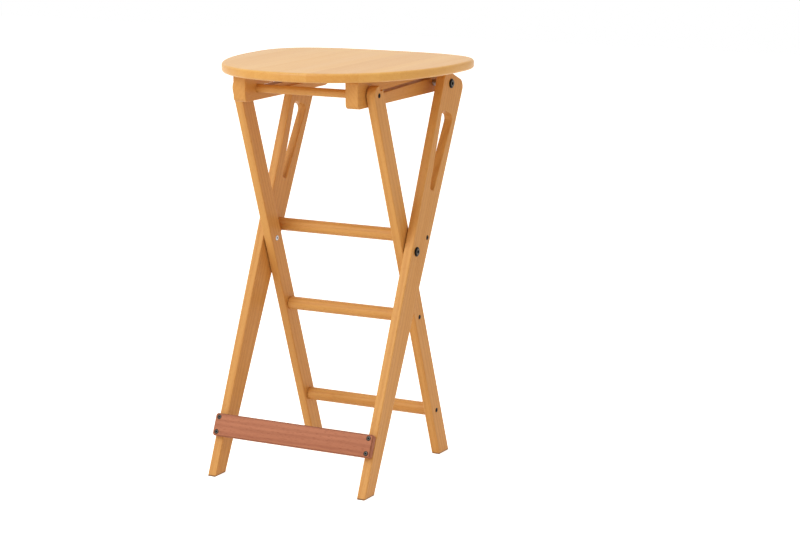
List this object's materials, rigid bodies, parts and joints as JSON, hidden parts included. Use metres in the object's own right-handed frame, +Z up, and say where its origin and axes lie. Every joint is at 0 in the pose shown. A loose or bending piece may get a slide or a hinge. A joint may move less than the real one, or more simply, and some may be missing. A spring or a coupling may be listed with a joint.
{
  "type": "folding bar stool",
  "caption": "Folding wooden bar stool with crossed leg frames, a rounded seat board on slotted battens, round rungs and a flat footrest.",
  "frame": {"origin": "on the floor, under the middle of the stool's outline", "axes": "+Z up, -Y towards the footrest and the seat's front, +X to the right as seen from the front"},
  "size_m": [0.384, 0.3472, 0.65],
  "materials": {
    "beech": "satin clear lacquer",
    "seat_beech": "satin clear lacquer",
    "red_beech": "satin clear lacquer",
    "black_steel": "black oxide",
    "zinc_steel": "zinc plated"
  },
  "bodies": {
    "outer_frame": {"outer_leg_left": "beech", "outer_leg_right": "beech", "upper_rung": "beech", "footrest": "red_beech", "footrest_screw_left_lower": "black_steel", "footrest_screw_left_upper": "black_steel", "footrest_screw_right_lower": "black_steel", "footrest_screw_right_upper": "black_steel", "upper_rung_screw_left": "black_steel", "upper_rung_screw_right": "black_steel", "seat_bolt_left": "black_steel", "seat_bolt_right": "black_steel", "cross_bolt_left": "black_steel", "cross_bolt_right": "black_steel", "seat_spacer_left": "zinc_steel", "seat_spacer_right": "zinc_steel"},
    "inner_frame": {"inner_leg_left": "beech", "inner_leg_right": "beech", "middle_rung": "beech", "lower_rung": "beech", "middle_rung_screw_left": "black_steel", "middle_rung_screw_right": "black_steel", "lower_rung_screw_left": "black_steel", "lower_rung_screw_right": "black_steel", "cross_nut_left": "zinc_steel", "cross_nut_right": "zinc_steel", "cross_washer_left": "zinc_steel", "cross_washer_right": "zinc_steel"},
    "top_dowel": {"top_dowel": "beech", "top_dowel_screw_left": "black_steel", "top_dowel_screw_right": "black_steel"},
    "seat": {"seat_board": "seat_beech", "batten_left": "beech", "batten_right": "beech", "batten_screw_left_front": "black_steel", "batten_screw_left_rear": "black_steel", "batten_screw_right_front": "black_steel", "batten_screw_right_rear": "black_steel", "seat_insert_left": "zinc_steel", "seat_insert_right": "zinc_steel"}
  },
  "joints": [
    {"name": "frame_fold", "type": "hinge", "parent": "outer_frame", "child": "inner_frame", "pos_m": [0, -0.00185, 0.3582], "axis": [-1, 0, 0], "range_deg": [0, 42]},
    {"name": "dowel_roll", "type": "hinge", "parent": "inner_frame", "child": "top_dowel", "pos_m": [0, -0.08835, 0.612], "axis": [1, 0, 0], "range_deg": [0, 105]},
    {"name": "seat_slide", "type": "slide", "parent": "top_dowel", "child": "seat", "axis": [0, -0.9994, -0.0342], "range_m": [0, 0.19521]}
  ],
  "couplings": [
    {"joint": "dowel_roll", "follows": "frame_fold", "ratio": 2.5},
    {"joint": "seat_slide", "follows": "frame_fold", "m_per_rad": 0.2663}
  ]
}
